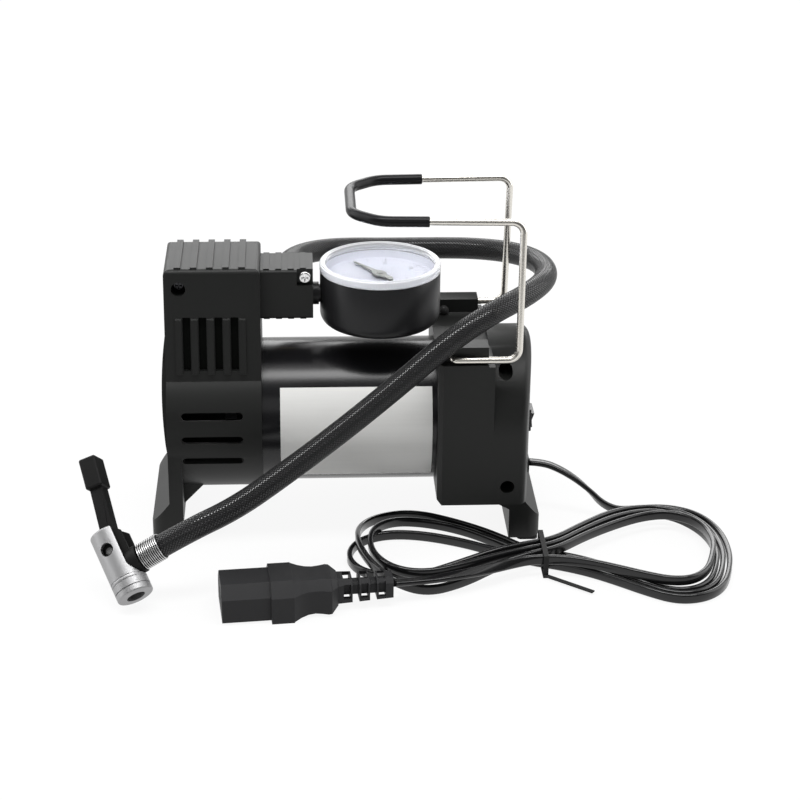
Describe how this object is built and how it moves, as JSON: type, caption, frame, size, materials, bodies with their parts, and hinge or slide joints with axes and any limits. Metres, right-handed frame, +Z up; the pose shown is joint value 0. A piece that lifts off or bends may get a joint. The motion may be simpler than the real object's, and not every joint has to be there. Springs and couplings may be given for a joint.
{
  "type": "portable tire inflator",
  "caption": "Mains-powered portable tire inflator: motor tube on two flared ends, pump head, round gauge, folding wire handle, air hose with lever chuck, plug lead.",
  "frame": {"origin": "on the floor, in the middle of the body between its flared ends", "axes": "+X along the motor towards the switch end, +Y away from the label side, +Z up"},
  "size_m": [0.2887, 0.1708, 0.1518],
  "materials": {
    "casing": "moulded satin black",
    "grille": "moulded satin black",
    "screws": "bright zinc",
    "feet": "matt",
    "label": "bare satin foil",
    "tube_paint": "gloss black paint",
    "magnets": "sintered",
    "steel": "ground",
    "laminated_steel": "stacked sheets",
    "copper": "bare copper",
    "carbon": "pressed carbon",
    "inner_plastic": "moulded",
    "gear_metal": "sintered",
    "cast_aluminium": "as cast",
    "seal_rubber": "smooth",
    "valve_steel": "spring steel",
    "brass": "turned",
    "crimp": "black collar",
    "gauge_black": "satin black",
    "lens": "clear",
    "dial": "printed white",
    "needle": "light grey print",
    "wire": "nickel plate",
    "grip": "shrunk sleeve",
    "rocker": "moulded",
    "grommet": "moulded",
    "chuck_metal": "satin zinc plate",
    "chuck_black": "moulded",
    "ferrule": "bright wire",
    "hose": "braided black cover",
    "cord": "smooth black",
    "tie": "black",
    "plug": "moulded matt",
    "contacts": "sprung"
  },
  "bodies": {
    "housing": {"head_front_shell": "casing", "head_rear_shell": "casing", "end_cap_front": "casing", "end_cap_rear": "casing", "side_grille": "grille", "head_screws": "screws", "end_cap_screws": "screws", "rubber_feet": "feet", "label_plate": "label", "motor_can": "tube_paint", "motor_magnets": "magnets", "motor_end_plate": "steel", "crank_axle": "steel", "front_bearing": "steel", "rear_bearing": "steel", "lever_pin": "steel", "carbon_brushes": "carbon", "brush_holder": "inner_plastic", "gearbox_frame": "inner_plastic", "gauge_movement": "inner_plastic", "switch_body": "inner_plastic", "pump_cylinder": "cast_aluminium", "cylinder_head": "cast_aluminium", "chuck_seal": "seal_rubber", "valve_plate": "valve_steel", "outlet_pipe": "brass", "air_manifold": "brass", "hose_fitting": "brass", "bourdon_tube": "brass", "hose_crimp": "crimp", "gauge_stem": "gauge_black", "gauge_case": "gauge_black", "gauge_lens": "lens", "gauge_dial": "dial", "cord_grommet": "grommet", "chuck_body": "chuck_metal", "chuck_core": "chuck_black", "hose_ferrule": "ferrule", "air_hose": "hose", "cord_lead": "cord", "cord_hank": "cord", "cord_tail": "cord", "twist_tie": "tie", "plug_body": "plug", "plug_relief": "plug", "plug_contacts": "contacts"},
    "handle": {"handle_wire": "wire", "handle_grip": "grip"},
    "rocker": {"switch_rocker": "rocker"},
    "lever": {"chuck_lever": "chuck_black"},
    "needle": {"gauge_needle": "needle"},
    "rotor": {"motor_shaft": "steel", "armature_core": "laminated_steel", "armature_windings": "copper", "commutator": "copper", "drive_pinion": "gear_metal"},
    "crank": {"crank_gear": "gear_metal", "crank_pin": "steel"},
    "piston": {"piston_rod": "cast_aluminium", "piston_cup": "seal_rubber"}
  },
  "joints": [
    {"name": "handle_fold", "type": "hinge", "parent": "housing", "child": "handle", "pos_m": [0.0454, 0, 0.0889], "axis": [0, -1, 0], "range_deg": [0, 25]},
    {"name": "switch_rock", "type": "hinge", "parent": "housing", "child": "rocker", "pos_m": [0.0797, 0, 0.0475], "axis": [0, -1, 0], "range_deg": [0, 14]},
    {"name": "lever_flip", "type": "hinge", "parent": "housing", "child": "lever", "pos_m": [-0.09919, -0.07483, 0.01941], "axis": [0.3224, 0.7356, -0.5958], "range_deg": [0, 62]},
    {"name": "needle_sweep", "type": "hinge", "parent": "housing", "child": "needle", "pos_m": [0.0155, 0, 0.1152], "axis": [0, 0, -1], "range_deg": [0, 270]},
    {"name": "motor_spin", "type": "hinge", "parent": "housing", "child": "rotor", "pos_m": [0, 0, 0.052], "axis": [1, 0, 0], "continuous": true},
    {"name": "crank_spin", "type": "hinge", "parent": "housing", "child": "crank", "pos_m": [0, 0, 0.072], "axis": [1, 0, 0], "continuous": true},
    {"name": "piston_stroke", "type": "slide", "parent": "housing", "child": "piston", "axis": [0, 0, 1], "range_m": [0, 0.012]}
  ],
  "couplings": [
    {"joint": "crank_spin", "follows": "motor_spin", "ratio": -0.25}
  ]
}
